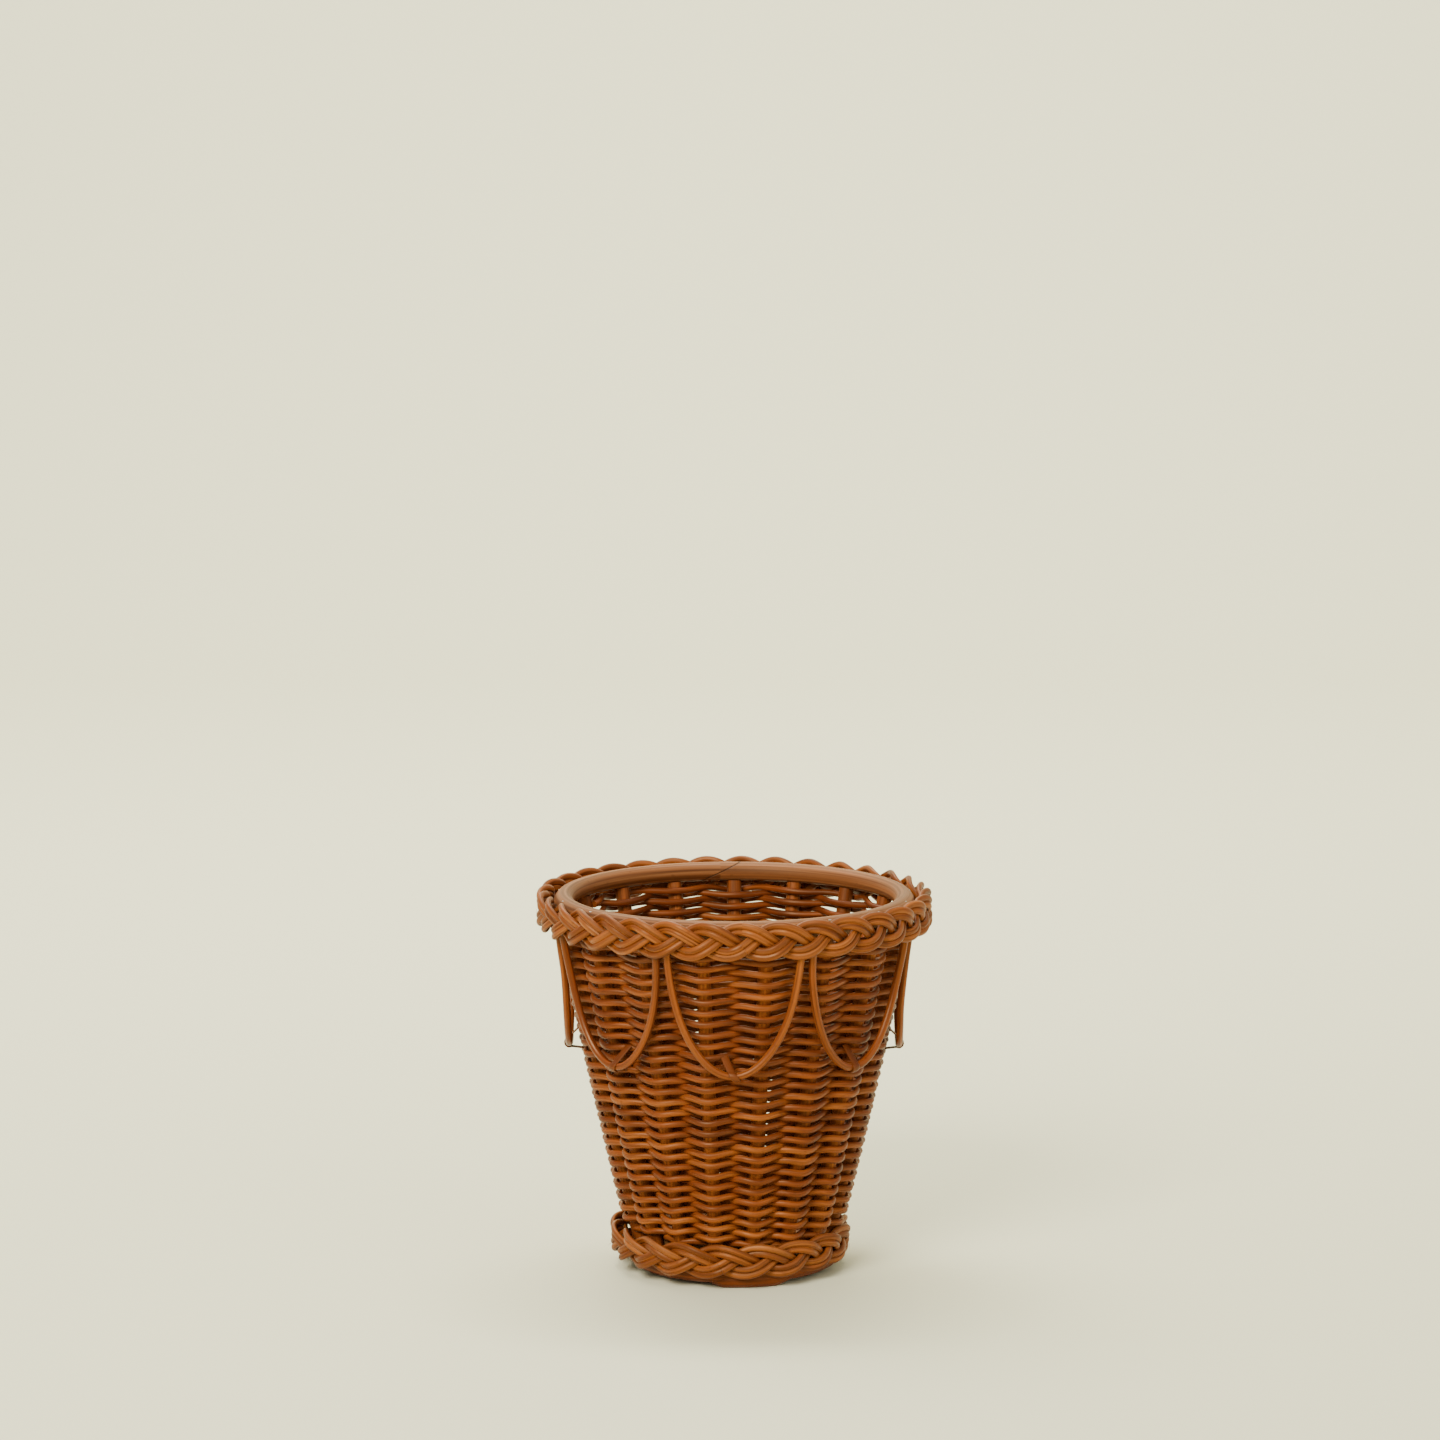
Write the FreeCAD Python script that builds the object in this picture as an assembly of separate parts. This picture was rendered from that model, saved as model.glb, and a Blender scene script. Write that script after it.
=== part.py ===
import FreeCAD, Part

import math
import os

# Woven rattan wastebasket: a ring of upright stakes between a foot ring and a top hoop,
# filled with plain weave, finished with a flat plait at rim and foot, and hung with loops.
# Millimetres and degrees. +Z is up, the origin is on the floor at the middle of the basket,
# and angles are measured about Z from the front, -Y, towards +X.

# ---- driving dimensions ----

# Overall
hoop_top_height = 280.7        # floor to the top of the hoop
hoop_centre_radius = 125.2     # middle of the basket to the hoop's centre line
stake_foot_radius = 69.2       # middle of the basket to a stake's axis at its foot

# Top hoop: one pole bent round, its ends scarfed at the back
hoop_rod = 14.6
scarf_length = 46.0
scarf_slit = 0.12

# Stakes
stake_count = 17
stake_rod = 10.8

# Foot ring: lapped rods, each dropping to the floor where it runs under the one before it
foot_rod_count = 3
foot_rod = 12.0
foot_ring_radius = 73.2
foot_drop = 3.4
foot_wear = 0.4
foot_lap_angle = 36.0
foot_climb_angle = 12.0
foot_lap_start = -13.5
foot_lap_end_gap = 0.6
foot_points_apart = 5.0

# Base board, held between the stakes
board_thickness = 9.0
board_height = 21.0

# Weave
weaver_count = 12
weaver_rod = 4.1
row_gap = 0.08
weave_end_gap = 1.2
weaver_bend_share = 0.3

# Rim plait
rim_reed = 4.2
rim_plait_width = 29.2
rim_plait_rise = 2.2
rim_plait_periods = 11
rim_plait_turn = 2.6

# Foot plait
foot_reed = 4.2
foot_plait_width = 26.8
foot_plait_bottom = 8.0
foot_plait_stand_off = 0.3
foot_plait_periods = 6
foot_plait_turn = -4.5

# Plaits in general
strand_count = 3
plait_points_per_period = 12
plait_bend_share = 0.45
plait_end_gap = 0.3

# Hanging loops and the cane ties that hold them to the wall
loop_count = 8
loop_rod = 5.5
loop_bottom_height = 165.5
loop_leg_gap = 3.3
loop_stand_off = 6.0
loop_point_count = 16
tie_width = 3.6
tie_thickness = 0.9

# Brads that hold hoop and board to the stakes
brad_shank = 1.6
brad_head = 3.2
brad_head_thickness = 0.8
brad_grip = 12.0
brad_lean = 60.0

# Clearances
contact = 0.08
plait_clearance = 0.1
plait_crossing_share = 1.46

# ---- levels and radii worked out from them ----

hoop_centre_height = hoop_top_height - hoop_rod / 2
foot_low_centre = foot_rod / 2 - foot_wear
foot_ring_top = foot_low_centre + foot_drop + foot_rod / 2
stake_foot_height = foot_ring_top + contact
stake_top_height = hoop_top_height - hoop_rod - contact
stake_slope = (hoop_centre_radius - stake_foot_radius) / (stake_top_height - stake_foot_height)
stake_tilt = math.degrees(math.atan(stake_slope))
stake_step = 360.0 / stake_count
weaver_reach = (stake_rod + weaver_rod + 2 * contact) / 2 / math.cos(math.radians(stake_tilt))
row_pitch = weaver_rod + row_gap
rim_plait_top = hoop_top_height + rim_plait_rise
rim_plait_bottom = rim_plait_top - rim_plait_width
foot_plait_top = foot_plait_bottom + foot_plait_width
first_row_height = foot_plait_top + weaver_rod / 2 + contact
last_row_height = stake_top_height - weaver_rod / 2
loop_top_height = rim_plait_bottom - contact
board_top = board_height + board_thickness


def stake_radius_at(height):
    """Distance of a stake's axis from the middle of the basket."""
    return stake_foot_radius + (height - stake_foot_height) * stake_slope


def wall_radius_at(height):
    """Outside of the weave at its fullest, over the stakes."""
    half_weaver = weaver_rod / 2 / math.cos(math.radians(stake_tilt))
    return stake_radius_at(height) + weaver_reach + half_weaver


def place(angle, radius, height):
    """The point at an angle from the front, a distance from the middle and a height."""
    turn = math.radians(angle)
    return FreeCAD.Vector(radius * math.sin(turn), -radius * math.cos(turn), height)


def about_z(shape, angle):
    """A copy of a shape turned about the middle of the basket."""
    turned = shape.copy()
    turned.rotate(FreeCAD.Vector(0, 0, 0), FreeCAD.Vector(0, 0, 1), angle)
    return turned


# ---- bent rods ----

def bend_at(before, corner, after, share):
    """The arc that rounds one corner, tangent to its two runs."""
    run_in = corner - before
    run_out = after - corner
    tangent = share * min(run_in.Length, run_out.Length)
    run_in.normalize()
    run_out.normalize()
    half_turn = run_in.getAngle(run_out) / 2
    radius = tangent / math.tan(half_turn)
    inward = run_out - run_in
    inward.normalize()
    centre = corner + inward * (radius / math.cos(half_turn))
    middle = centre - inward * radius
    start = corner - run_in * tangent
    end = corner + run_out * tangent
    return start, middle, end


def rod_path(points, share):
    """Straight runs through the points, joined by tangent arcs."""
    edges = []
    last = points[0]
    for before, corner, after in zip(points, points[1:], points[2:]):
        start, middle, end = bend_at(before, corner, after, share)
        edges.append(Part.LineSegment(last, start).toShape())
        edges.append(Part.Arc(start, middle, end).toShape())
        last = end
    edges.append(Part.LineSegment(last, points[-1]).toShape())
    return Part.Wire(edges)


def bent_rod(points, diameter, share):
    """A round rod bent along the points."""
    path = rod_path(points, share)
    first_run = path.Edges[0]
    start = first_run.firstVertex().Point
    direction = first_run.lastVertex().Point - start
    section = Part.Wire([Part.makeCircle(diameter / 2, start, direction)])
    return path.makePipeShell([section], True, False)


# ---- brads ----

def brad_shape(head, tip, extra):
    """A brad from the outside of its head to its tip, grown all round by a clearance."""
    direction = tip - head
    length = direction.Length
    shank = Part.makeCylinder(brad_shank / 2 + extra, length + extra, head, direction)
    cap = Part.makeCylinder(brad_head / 2 + extra, brad_head_thickness + extra, head, direction)
    return shank.fuse(cap).removeSplitter()


def rim_brad_ends(angle):
    """Head on the hoop's outer shoulder, tip down the middle of a stake."""
    lean = math.radians(brad_lean)
    head_radius = hoop_centre_radius + hoop_rod / 2 * math.cos(lean)
    head_height = hoop_centre_height + hoop_rod / 2 * math.sin(lean) - brad_head_thickness / 2
    tip_height = stake_top_height - brad_grip
    head = place(angle, head_radius, head_height)
    tip = place(angle, stake_radius_at(tip_height), tip_height)
    return head, tip


def board_brad_ends(angle):
    """Head on the outside of a stake, tip in the edge of the board."""
    height = board_height + board_thickness / 2
    outside = stake_radius_at(height) + stake_rod / 2 / math.cos(math.radians(stake_tilt))
    board_edge = outside - stake_rod
    head = place(angle, outside - contact, height)
    tip = place(angle, board_edge - brad_grip, height)
    return head, tip


def stake_angles():
    """Angles of the stakes from the front: a gap between two stakes faces forward."""
    return [stake_step * (index + 0.5) for index in range(stake_count)]


def brads(ends):
    """One brad at every stake."""
    return Part.makeCompound([brad_shape(*ends(angle), 0.0) for angle in stake_angles()])


def brad_holes(ends):
    """The holes that those brads fill."""
    return Part.makeCompound([brad_shape(*ends(angle), contact / 2) for angle in stake_angles()])


# ---- frame ----

def top_hoop():
    """The rim pole, bent into a ring, with a slanted scarf joint at the back."""
    ring = Part.makeTorus(hoop_centre_radius, hoop_rod / 2)
    ring.translate(FreeCAD.Vector(0, 0, hoop_centre_height))
    slit_size = math.hypot(scarf_length, hoop_rod) + hoop_rod
    slit = Part.makeBox(slit_size, 2 * hoop_rod, scarf_slit)
    slit.translate(FreeCAD.Vector(-slit_size / 2, -hoop_rod, -scarf_slit / 2))
    slant = math.degrees(math.atan2(hoop_rod, scarf_length))
    slit.rotate(FreeCAD.Vector(0, 0, 0), FreeCAD.Vector(0, 1, 0), -slant)
    slit.translate(FreeCAD.Vector(0, hoop_centre_radius, hoop_centre_height))
    return ring.cut(slit).cut(brad_holes(rim_brad_ends))


def stake(angle):
    """One upright, leaning outwards, cut level at head and foot."""
    spare = stake_rod
    foot = place(angle, stake_radius_at(stake_foot_height - spare), stake_foot_height - spare)
    head = place(angle, stake_radius_at(stake_top_height + spare), stake_top_height + spare)
    rod = Part.makeCylinder(stake_rod / 2, (head - foot).Length, foot, head - foot)
    reach = hoop_centre_radius + hoop_rod
    slab = Part.makeBox(2 * reach, 2 * reach, stake_top_height - stake_foot_height)
    slab.translate(FreeCAD.Vector(-reach, -reach, stake_foot_height))
    rod = rod.common(slab)
    rod = rod.cut(brad_shape(*rim_brad_ends(angle), contact / 2))
    return rod.cut(brad_shape(*board_brad_ends(angle), contact / 2))


def foot_rod_height(along):
    """Centre height of a foot rod, an angle along from its start on the floor."""
    climb = (along - foot_lap_angle) / foot_climb_angle
    climb = min(max(climb, 0.0), 1.0)
    eased = climb * climb * (3 - 2 * climb)
    return foot_low_centre + foot_drop * eased


def foot_ring_rod(index):
    """One of the lapped rods of the foot ring: half its thickness is cut away at each lap, and
    its underside is worn flat where it stands on the floor."""
    share = 360.0 / foot_rod_count
    start = foot_lap_start + index * share
    sweep = share + foot_lap_angle
    steps = int(math.ceil(sweep / foot_points_apart))
    points = []
    for step in range(steps + 1):
        along = sweep * step / steps
        points.append(place(start + along, foot_ring_radius, foot_rod_height(along)))
    rod = bent_rod(points, foot_rod, plait_bend_share)
    above_floor = Part.makeBox(4 * foot_ring_radius, 4 * foot_ring_radius, 2 * foot_ring_top)
    above_floor.translate(FreeCAD.Vector(-2 * foot_ring_radius, -2 * foot_ring_radius, 0))
    return rod.common(above_floor).cut(lap_cut(start, False)).cut(lap_cut(start + share, True))


def lap_cut(start, upper_rod):
    """Space of the other rod at a lap: above the lap plane for the lower rod, below it for the upper."""
    lap_height = foot_ring_top / 2
    low = -foot_rod if upper_rod else lap_height
    high = lap_height + contact if upper_rod else lap_height + 2 * foot_rod
    inner = foot_ring_radius - foot_rod
    spare_angle = math.degrees(foot_rod / foot_ring_radius)
    gap_angle = math.degrees(foot_lap_end_gap / foot_ring_radius)
    begin = start - (gap_angle if upper_rod else spare_angle)
    sweep = foot_lap_angle + spare_angle + gap_angle
    profile = Part.makePlane(2 * foot_rod, high - low)
    profile.rotate(FreeCAD.Vector(0, 0, 0), FreeCAD.Vector(1, 0, 0), 90)
    profile.translate(FreeCAD.Vector(inner, 0, low))
    ring = profile.revolve(FreeCAD.Vector(0, 0, 0), FreeCAD.Vector(0, 0, 1), sweep)
    return about_z(ring, begin - 90)


def base_board():
    """The round wooden bottom, its slanted edge resting against the stakes."""
    stake_half = stake_rod / 2 / math.cos(math.radians(stake_tilt))
    low_radius = stake_radius_at(board_height) - stake_half - contact
    high_radius = stake_radius_at(board_top) - stake_half - contact
    board = Part.makeCone(low_radius, high_radius, board_thickness)
    board.translate(FreeCAD.Vector(0, 0, board_height))
    return board.cut(brad_holes(board_brad_ends))


# ---- weave ----

def run_meeting_offsets(axis_radius):
    """How far outside and inside the stakes a weaver's straight runs meet, so that its bends
    just clear them."""
    step = math.radians(stake_step)
    outward = weaver_reach
    inward = weaver_reach
    for _ in range(20):
        outer = axis_radius + outward
        inner = axis_radius - inward
        run = math.sqrt(outer ** 2 + inner ** 2 - 2 * outer * inner * math.cos(step))
        outer_half_turn = math.atan2(outer - inner * math.cos(step), inner * math.sin(step))
        inner_half_turn = math.atan2(outer * math.cos(step) - inner, outer * math.sin(step))
        outward = weaver_reach + weaver_bend_share * run * math.tan(outer_half_turn / 2)
        inward = weaver_reach + weaver_bend_share * run * math.tan(inner_half_turn / 2)
    return outward, inward


def crossing_count():
    """Stakes passed by one weaver: an even number, so that both its ends lie inside."""
    rows = (last_row_height - first_row_height) / row_pitch
    return 2 * int(rows * stake_count / weaver_count / 2)


def weaver_corner(number):
    """Where two runs of the weave meet at a crossing, counted from the first one."""
    height = first_row_height + row_pitch * number / stake_count
    axis_radius = stake_radius_at(height)
    outward, inward = run_meeting_offsets(axis_radius)
    radius = axis_radius + outward if number % 2 else axis_radius - inward
    return place(stake_step * (number + 0.5), radius, height)


def weaver(index):
    """One reed of the weave, in front of one stake and behind the next, both ends inside."""
    first = index * crossing_count()
    points = [weaver_corner(first + step) for step in range(crossing_count() + 1)]
    start_run = points[1] - points[0]
    end_run = points[-2] - points[-1]
    points[0] = points[0] + start_run.normalize() * weave_end_gap
    points[-1] = points[-1] + end_run.normalize() * weave_end_gap
    return bent_rod(points, weaver_rod, weaver_bend_share)


# ---- plaits ----

def plait_reed(strand, side, reed, width, bottom, centre_radius, periods, turn):
    """One of a strand's two reeds, side by side. It goes once round the plait, and its ends
    meet where the strand runs on the inner side."""
    half_pair = (reed + plait_clearance) / 2
    swing = width / 2 - reed / 2 - half_pair
    depth = plait_depth(reed)
    middle_height = bottom + width / 2
    count = periods * plait_points_per_period
    innermost_phase = -math.pi / 4
    points = []
    for step in range(count):
        phase = innermost_phase + 2 * math.pi * periods * step / count
        way = (phase - 2 * math.pi * strand / strand_count) / periods
        rise = -swing * math.sin(phase) * periods / centre_radius
        along = half_pair * side * -rise / math.hypot(1, rise)
        across = half_pair * side / math.hypot(1, rise)
        angle = turn + math.degrees(way + along / centre_radius)
        height = middle_height + swing * math.cos(phase) + across
        points.append(place(angle, centre_radius + depth * math.sin(2 * phase), height))
    meeting = (points[0] + points[-1]) / 2
    end_gap = (points[0] - points[-1]).normalize() * plait_end_gap / 2
    return bent_rod([meeting + end_gap] + points + [meeting - end_gap], reed, plait_bend_share)


def plait_depth(reed):
    """How far a strand swings out and in, so that it clears the strand that it crosses."""
    crossing_share = 2 * math.sin(2 * math.pi / strand_count)
    return (reed + plait_clearance) * plait_crossing_share / crossing_share


def rim_plait_strand(strand):
    """A strand of the plait that covers the outside of the hoop."""
    clear = wall_radius_at(last_row_height) + contact
    centre_radius = clear + plait_depth(rim_reed) + rim_reed / 2
    sizes = (rim_reed, rim_plait_width, rim_plait_bottom, centre_radius, rim_plait_periods,
             rim_plait_turn)
    return Part.makeCompound([plait_reed(strand, side, *sizes) for side in (-1, 1)])


def foot_plait_strand(strand):
    """A strand of the plait round the feet of the stakes."""
    widest = stake_radius_at(foot_plait_top - foot_plait_width / 4)
    clear = widest + stake_rod / 2 / math.cos(math.radians(stake_tilt)) + contact
    centre_radius = clear + foot_plait_stand_off + plait_depth(foot_reed) + foot_reed / 2
    sizes = (foot_reed, foot_plait_width, foot_plait_bottom, centre_radius, foot_plait_periods,
             foot_plait_turn)
    return Part.makeCompound([plait_reed(strand, side, *sizes) for side in (-1, 1)])


# ---- loops ----

def loop_points(middle):
    """Points along a loop centred at an angle: half an ellipse in outline, lying on the wall at
    its ends and standing off it at the bottom."""
    top_radius = wall_radius_at(loop_top_height) + loop_rod / 2 + contact
    leg_inset = math.degrees((loop_rod + loop_leg_gap) / 2 / top_radius)
    half_span = 180.0 / loop_count - leg_inset
    depth = loop_top_height - loop_bottom_height
    points = []
    for step in range(loop_point_count):
        turn = math.pi * step / (loop_point_count - 1)
        height = loop_top_height - depth * math.sin(turn)
        on_wall = wall_radius_at(height) + loop_rod / 2 + contact
        radius = on_wall + loop_stand_off * math.sin(turn)
        points.append(place(middle - half_span * math.cos(turn), radius, height))
    return points


def hanging_loop(index):
    """One loop of rattan rod, hanging from the rim."""
    return bent_rod(loop_points(index * 360.0 / loop_count), loop_rod, plait_bend_share)


def slot_outline(back, front, half_height):
    """Two straight sides joined by half circles, in the plane x = 0, long along y."""
    corner = FreeCAD.Vector
    top = Part.LineSegment(corner(0, back, half_height), corner(0, front, half_height))
    nose = Part.Arc(corner(0, front, half_height), corner(0, front - half_height, 0),
                    corner(0, front, -half_height))
    low = Part.LineSegment(corner(0, front, -half_height), corner(0, back, -half_height))
    tail = Part.Arc(corner(0, back, -half_height), corner(0, back + half_height, 0),
                    corner(0, back, half_height))
    return Part.Wire([curve.toShape() for curve in (top, nose, low, tail)])


def loop_tie(index):
    """A band of cane round the bottom of a loop, its back end against the wall."""
    inside = loop_rod / 2 + contact
    outside = inside + tie_thickness
    front_points = loop_points(0)
    middle_run = front_points[loop_point_count // 2 - 1] + front_points[loop_point_count // 2]
    rod_radius = -middle_run.y / 2
    rod_height = middle_run.z / 2
    back_radius = wall_radius_at(rod_height + outside) + contact + outside
    band = Part.Face(slot_outline(-back_radius, -rod_radius, outside))
    band = band.cut(Part.Face(slot_outline(-back_radius, -rod_radius, inside)))
    solid = band.extrude(FreeCAD.Vector(tie_width, 0, 0))
    solid.translate(FreeCAD.Vector(-tie_width / 2, 0, rod_height))
    return about_z(solid, index * 360.0 / loop_count)


def loop_ties():
    """The ties of all the loops."""
    return Part.makeCompound([loop_tie(index) for index in range(loop_count)])


# ---- write every piece ----

def write(name, shape):
    """One piece, or one group of the same pieces, as a STEP file."""
    shape.exportStep("parts/" + name + ".step")


os.makedirs("parts", exist_ok=True)
write("top_hoop", top_hoop())
for number, angle in enumerate(stake_angles(), 1):
    write("stake_%02d" % number, stake(angle))
for index in range(foot_rod_count):
    write("foot_ring_rod_%d" % (index + 1), foot_ring_rod(index))
write("base_board", base_board())
for index in range(weaver_count):
    write("weaver_%02d" % (index + 1), weaver(index))
for index in range(strand_count):
    write("rim_plait_strand_%d" % (index + 1), rim_plait_strand(index))
    write("foot_plait_strand_%d" % (index + 1), foot_plait_strand(index))
for index in range(loop_count):
    write("hanging_loop_%d" % (index + 1), hanging_loop(index))
write("loop_ties", loop_ties())
write("rim_brads", brads(rim_brad_ends))
write("board_brads", brads(board_brad_ends))
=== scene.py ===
import math
import random

import bpy
from mathutils import Matrix, Vector


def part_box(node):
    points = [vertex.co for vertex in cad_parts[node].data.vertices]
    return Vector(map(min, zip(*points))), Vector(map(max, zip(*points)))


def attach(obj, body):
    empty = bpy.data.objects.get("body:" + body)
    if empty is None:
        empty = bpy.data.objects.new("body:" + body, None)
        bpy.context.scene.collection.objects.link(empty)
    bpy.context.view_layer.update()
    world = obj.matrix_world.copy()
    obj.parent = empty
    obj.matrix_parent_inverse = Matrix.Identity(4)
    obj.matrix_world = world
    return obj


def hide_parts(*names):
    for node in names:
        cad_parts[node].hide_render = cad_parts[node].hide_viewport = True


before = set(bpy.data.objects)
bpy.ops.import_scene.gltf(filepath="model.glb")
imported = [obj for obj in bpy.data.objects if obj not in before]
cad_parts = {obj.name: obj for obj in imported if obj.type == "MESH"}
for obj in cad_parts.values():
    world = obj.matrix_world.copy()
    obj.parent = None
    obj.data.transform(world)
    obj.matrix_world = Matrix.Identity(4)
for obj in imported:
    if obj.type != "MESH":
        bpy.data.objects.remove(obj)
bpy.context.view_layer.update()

# Woven rattan wastebasket. Metres and radians. Angles run about Z from the front, -Y, towards +X.
# Every reed, pole and rod is swept by a rule along its own way through the basket, and carries two
# attributes for its material: "along", the distance from its end, and "around", its own section.

# ---- sizes read from the frame ----


def ring_of(node):
    """Centre-line radius, rod diameter and centre height of a node that is a plain ring."""
    low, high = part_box(node)
    rod = high.z - low.z
    return (high.x - low.x) / 2 - rod / 2, rod, (high.z + low.z) / 2


STAKE_COUNT = 17
STAKE_STEP = 2 * math.pi / STAKE_COUNT
REAR_STAKE = "stake_%02d" % (STAKE_COUNT // 2 + 1)
WEAVER_COUNT = 12
CROSSINGS = 76
STRAND_COUNT = 3
LOOP_COUNT = 8
FOOT_ROD_COUNT = 3

FOOT_ROD = 0.012
PLAIT_REED = 0.0043
LOOP_ROD = 0.0055
LOOP_LEG_GAP = 0.0033
LOOP_STAND_OFF = 0.0058

HOOP_RADIUS, HOOP_ROD, HOOP_HEIGHT = ring_of("top_hoop")

rear_low, rear_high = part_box(REAR_STAKE)
STAKE_ROD = rear_high.x - rear_low.x
STAKE_FOOT = rear_low.z
STAKE_TOP = rear_high.z
STAKE_RUN = rear_high.y - rear_low.y - STAKE_ROD
STAKE_LEAN = math.atan(STAKE_RUN / (STAKE_TOP - STAKE_FOOT))
SLOPE = math.tan(STAKE_LEAN)
FOOT_RADIUS = rear_low.y + STAKE_ROD / 2 / math.cos(STAKE_LEAN)

foot_low, foot_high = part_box("foot_ring_rod_2")
FOOT_RING_RADIUS = -foot_low.x - FOOT_ROD / 2

first_low, first_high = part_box("weaver_01")
second_low, second_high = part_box("weaver_02")
REED = first_high.z - first_low.z - (second_low.z - first_low.z)
ROW_PITCH = (second_low.z - first_low.z) * STAKE_COUNT / CROSSINGS
FIRST_ROW = first_low.z + REED / 2
REACH = (STAKE_ROD + REED) / 2 / math.cos(STAKE_LEAN)


def stake_radius(height):
    """Distance of a stake's axis from the middle of the basket."""
    return FOOT_RADIUS + (height - STAKE_FOOT) * SLOPE


def wall_radius(height):
    """Outside of the weave, over the stakes."""
    return stake_radius(height) + REACH + REED / 2 / math.cos(STAKE_LEAN)


# ---- arithmetic in node trees ----


class Field:
    """A value in a node tree. Arithmetic on it adds the nodes that work it out."""

    def __init__(self, tree, socket):
        self.tree = tree
        self.socket = socket

    def math(self, operation, *others):
        node = self.tree.nodes.new("ShaderNodeMath")
        node.operation = operation
        for slot, value in zip(node.inputs, (self, *others)):
            feed(self.tree, slot, value)
        return Field(self.tree, node.outputs[0])

    def __add__(self, other):
        return self.math("ADD", other)

    def __sub__(self, other):
        return self.math("SUBTRACT", other)

    def __mul__(self, other):
        return self.math("MULTIPLY", other)

    def __truediv__(self, other):
        return self.math("DIVIDE", other)

    def sin(self):
        return self.math("SINE")

    def cos(self):
        return self.math("COSINE")


def feed(tree, slot, value):
    """Links a field into a socket, or sets the socket to a plain value."""
    if isinstance(value, Field):
        tree.links.new(value.socket, slot)
    else:
        slot.default_value = value


def add_node(tree, kind, inputs=(), **settings):
    """A node with its settings and its inputs, by name or number."""
    node = tree.nodes.new(kind)
    for name, value in settings.items():
        setattr(node, name, value)
    for name, value in dict(inputs).items():
        feed(tree, node.inputs[name], value)
    return node


def combined(tree, x, y, z):
    """A vector from three values."""
    return Field(tree, add_node(tree, "ShaderNodeCombineXYZ", {0: x, 1: y, 2: z}).outputs[0])


def vector_math(tree, operation, first, second=None):
    """Arithmetic on vectors."""
    node = add_node(tree, "ShaderNodeVectorMath", {0: first}, operation=operation)
    if second is not None:
        feed(tree, node.inputs[1], second)
    return Field(tree, node.outputs[0])


def noise(tree, vector, scale, seed, detail=1.0):
    """Smooth noise about zero, between about -0.5 and 0.5."""
    inputs = {"Vector": vector, "Scale": scale, "W": seed, "Detail": detail}
    node = add_node(tree, "ShaderNodeTexNoise", inputs, noise_dimensions="4D")
    return Field(tree, node.outputs[0]) - 0.5


# ---- rules: geometry node trees that sweep a reed along a way worked out from named sizes ----


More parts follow.
